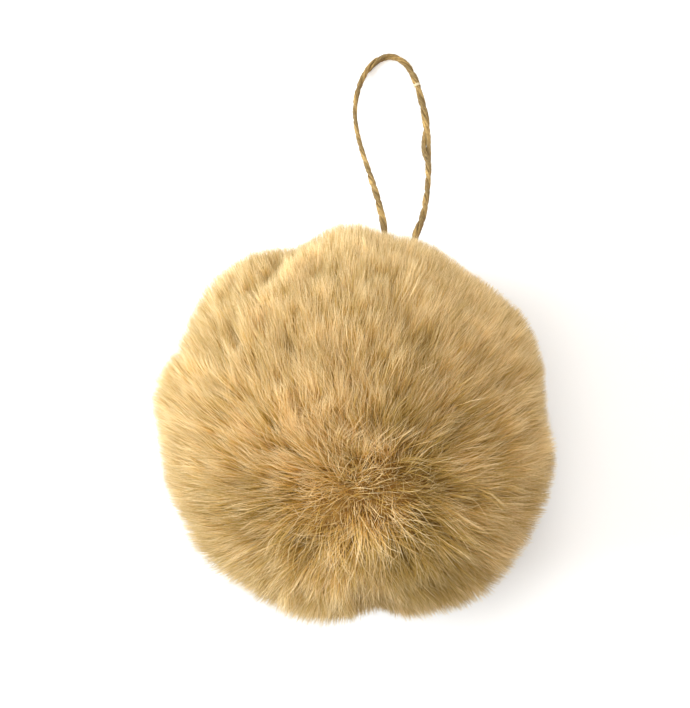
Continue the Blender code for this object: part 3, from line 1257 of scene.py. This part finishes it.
def twine_material():
    """Jute: pale and dark fibres along the lay, painted shade in the grooves between the
    plies, dull, with fine ridges.
    """
    twine = bpy.context.scene.pom_twine
    material, tree, shader = new_material("jute_fibre")
    place, _, around = map_coordinates(tree)
    stretched = add_node(tree, "Mapping", {"Vector": place, "Scale": (160, 60, 1)})["Vector"]
    inputs = {"Vector": stretched, "Scale": 1, "Detail": 4, "Distortion": 0.6}
    streaks = add_node(tree, "TexNoise", inputs)["Fac"]
    patches = add_node(tree, "TexNoise", {"Vector": place, "Scale": 40, "Detail": 2})["Fac"]
    inward = add_node(tree, "Math", {0: around, 1: 0.5}, operation="PINGPONG")["Value"]
    fine = soft_range(tree, streaks, 0.32, 0.66)
    broad = soft_range(tree, patches, 0.36, 0.64, 0.62, 1.10)
    # Painted shade: the inner side of each ply, in the groove between the plies, is darkened.
    groove_painted_shade = soft_range(tree, inward, 0.14, 0.30, 1.0, 0.58)
    light = add_node(tree, "Math", {0: broad, 1: groove_painted_shade}, operation="MULTIPLY")["Value"]
    streaked = mixed_colour(tree, fine, (*twine.dark_colour, 1), (*twine.pale_colour, 1))
    toned = lit_colour(tree, streaked, light)
    fleck = soft_range(tree, inward, 0.012, 0.018)
    look = {
        "Base Color": mixed_colour(tree, fleck, (*twine.bleached_colour, 1), toned),
        "Roughness": soft_range(tree, streaks, 0.2, 0.8, 0.88, 0.66),
        "Normal": bumped(tree, streaks, 0.7, 0.08 * MM),
    }
    set_inputs(tree, shader, look)
    return material


class POMPOM_OT_twine_loop(bpy.types.Operator):
    """Lay the two plies of the hanging loop, with their loose fibres"""

    bl_idname = "pompom.twine_loop"
    bl_label = "Twine loop"

    def execute(self, context):
        twine = context.scene.pom_twine
        line, thick, opening, length = twine_line(twine.ring_step)
        ways, sides, ups = carried_frames(line)
        chance = np.random.default_rng(77)
        tubes = [ply_rings(0), ply_rings(1)]
        for number in range(CROSSING_FIBRES):
            tubes.append(crossing_rings(line, thick, ways, number))
        for number in range(twine.strays):
            tubes.append(stray_rings(chance, line, thick, ways, sides, ups))
        corners = []
        faces = []
        places = []
        first = 0
        for number, rings in enumerate(tubes):
            own, own_faces = closed_tube(rings)
            corners.append(own)
            faces += [tuple(first + corner for corner in face) for face in own_faces]
            places.append(tube_places(rings, number, chance))
            first += len(own)
        corners = np.concatenate(corners)
        places = np.concatenate(places)
        mesh = bpy.data.meshes.new("twine_loop")
        mesh.from_pydata(corners.tolist(), [], faces)
        mesh.shade_smooth()
        loops = np.zeros(len(mesh.loops), np.int32)
        mesh.loops.foreach_get("vertex_index", loops)
        layer = mesh.uv_layers.new(name=BAKE_MAP)
        layer.uv.foreach_set("vector", places[loops].astype(np.float32).reshape(-1))
        piece = link_piece("twine_loop", mesh, twine_material())
        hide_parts("hanging_loop")
        return {"FINISHED"}


def tube_places(rings, number, chance):
    """Where a tube's points lie on the twine's map: along the twine, and round the ply."""
    count, sides = rings.shape[:2]
    if number < 2:
        along = np.repeat(np.linspace(0.01, 0.99, count), sides)
        half = 0.5 - 0.5 * np.cos(2 * math.pi * np.arange(sides) / sides)
        around = np.tile(0.02 + 0.44 * half, count) + 0.5 * number
    elif number < 2 + CROSSING_FIBRES:
        along = np.repeat(0.1 * number + 0.02 * np.linspace(0, 1, count), sides)
        around = np.tile(0.002 + 0.002 * np.arange(sides), count)
    else:
        start = chance.uniform(0.05, 0.9)
        along = np.repeat(start + 0.02 * np.linspace(0, 1, count), sides)
        around = np.tile(0.06 + 0.01 * np.arange(sides), count)
    return np.stack([along, around], axis=1)


def floor_material():
    """Plain pale studio floor, with a faint glow of its own."""
    studio = bpy.context.scene.pom_studio
    material, tree, shader = new_material("studio_floor")
    look = {
        "Base Color": (*studio.floor_colour, 1),
        "Roughness": 0.85,
        "Specular IOR Level": 0.2,
        "Emission Color": (1, 1, 1, 1),
        "Emission Strength": studio.floor_glow,
    }
    set_inputs(tree, shader, look)
    return material


def area_light(name, place, watts, colour):
    """A square soft light at a place, turned to the ball."""
    data = bpy.data.lights.new(name, "AREA")
    data.shape = "SQUARE"
    data.size = LIGHT_SIZE
    data.energy = watts
    data.color = colour
    light = bpy.data.objects.new(name, data)
    bpy.context.scene.collection.objects.link(light)
    light.location = place
    way = Vector(LIGHT_TARGET) - Vector(place)
    light.rotation_euler = way.to_track_quat("-Z", "Y").to_euler()


def soft_sky():
    """Even, slightly warm light from all round."""
    studio = bpy.context.scene.pom_studio
    world = bpy.data.worlds.new("soft_sky")
    world.use_nodes = True
    sky = world.node_tree.nodes["Background"]
    sky.inputs["Strength"].default_value = studio.sky_strength
    sky.inputs["Color"].default_value = (*studio.sky_colour, 1)
    return world


class POMPOM_OT_studio(bpy.types.Operator):
    """Set up the camera above the ball, the floor and the soft light"""

    bl_idname = "pompom.studio"
    bl_label = "Studio"

    def execute(self, context):
        scene = context.scene
        studio = scene.pom_studio
        middle = ball_middle()
        data = bpy.data.cameras.new("camera")
        data.sensor_fit = "VERTICAL"
        data.sensor_height = 36
        data.lens = 36 * studio.camera_distance / studio.picture_height
        data.clip_start = 0.05
        camera = bpy.data.objects.new("camera", data)
        scene.collection.objects.link(camera)
        camera.location = (
            middle[0] + studio.camera_right,
            middle[1] + studio.camera_up,
            middle[2] + studio.camera_distance,
        )
        scene.camera = camera

        bpy.ops.mesh.primitive_plane_add(size=FLOOR_SIDE, location=(0, 0, 0))
        floor = context.object
        floor.name = "floor"
        floor.data.materials.append(floor_material())

        for light in STUDIO_LIGHTS:
            place = (light["x"], light["y"], light["z"])
            area_light(light["name"], place, light["watts"], light["colour"])
        scene.world = soft_sky()
        scene.view_settings.view_transform = "Standard"
        return {"FINISHED"}


class POMPOM_PT_panel(bpy.types.Panel):
    """Lists the pom pom's pieces in the sidebar"""

    bl_idname = "POMPOM_PT_panel"
    bl_label = "Pom pom"
    bl_space_type = "VIEW_3D"
    bl_region_type = "UI"
    bl_category = "Pom pom"

    def draw(self, context):
        for step in STEPS:
            self.layout.operator(step.bl_idname)


SETTINGS = (FurSettings, TwineSettings, StudioSettings)
STEPS = (
    POMPOM_OT_studio,
    POMPOM_OT_twine_loop,
    POMPOM_OT_under_fur,
    POMPOM_OT_fur_pile,
)


def register():
    for group in SETTINGS:
        bpy.utils.register_class(group)
    bpy.types.Scene.pom_fur = PointerProperty(type=FurSettings)
    bpy.types.Scene.pom_twine = PointerProperty(type=TwineSettings)
    bpy.types.Scene.pom_studio = PointerProperty(type=StudioSettings)
    for step in STEPS:
        bpy.utils.register_class(step)
    bpy.utils.register_class(POMPOM_PT_panel)


def unregister():
    bpy.utils.unregister_class(POMPOM_PT_panel)
    for step in reversed(STEPS):
        bpy.utils.unregister_class(step)
    del bpy.types.Scene.pom_studio
    del bpy.types.Scene.pom_twine
    del bpy.types.Scene.pom_fur
    for group in reversed(SETTINGS):
        bpy.utils.unregister_class(group)


def main():
    register()
    bpy.ops.pompom.studio()
    bpy.ops.pompom.twine_loop()
    bpy.ops.pompom.under_fur()
    bpy.ops.pompom.fur_pile()


if __name__ == "__main__":
    main()
